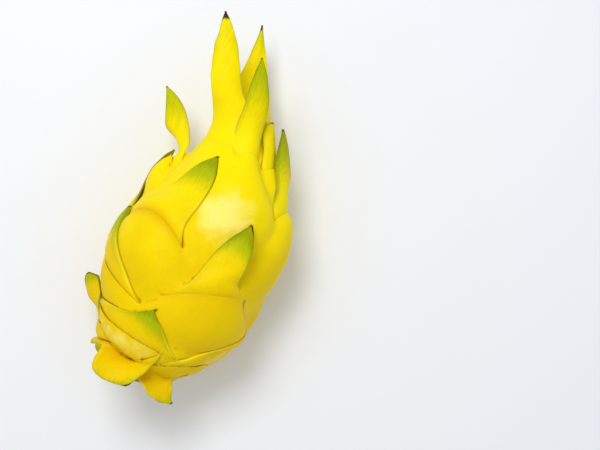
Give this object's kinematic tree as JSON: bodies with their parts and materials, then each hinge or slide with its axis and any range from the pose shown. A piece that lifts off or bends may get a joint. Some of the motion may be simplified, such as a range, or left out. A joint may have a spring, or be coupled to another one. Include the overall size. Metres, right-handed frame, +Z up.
{
  "type": "dragon fruit",
  "caption": "Whole yellow dragon fruit lying on its side: egg-shaped rind with leafy scales in a spiral, long green-tipped straps round the crown and a cut stem stub.",
  "frame": {"origin": "in the small flat spot that the fruit rests on, below its centre of mass", "axes": "+Z up; +Y along the fruit's long axis towards the crown, so the cut stem is at -Y; +X across"},
  "size_m": [0.0937, 0.1954, 0.0867],
  "materials": {
    "rind": "waxy satin skin, green towards the scale tips",
    "withered_flower": "dry, brown and shrivelled",
    "cut_stem": "dried cut with a green rim"
  },
  "bodies": {
    "root": {"fruit": "rind", "flower_remnant": "withered_flower", "stem_stub": "cut_stem"}
  },
  "joints": []
}
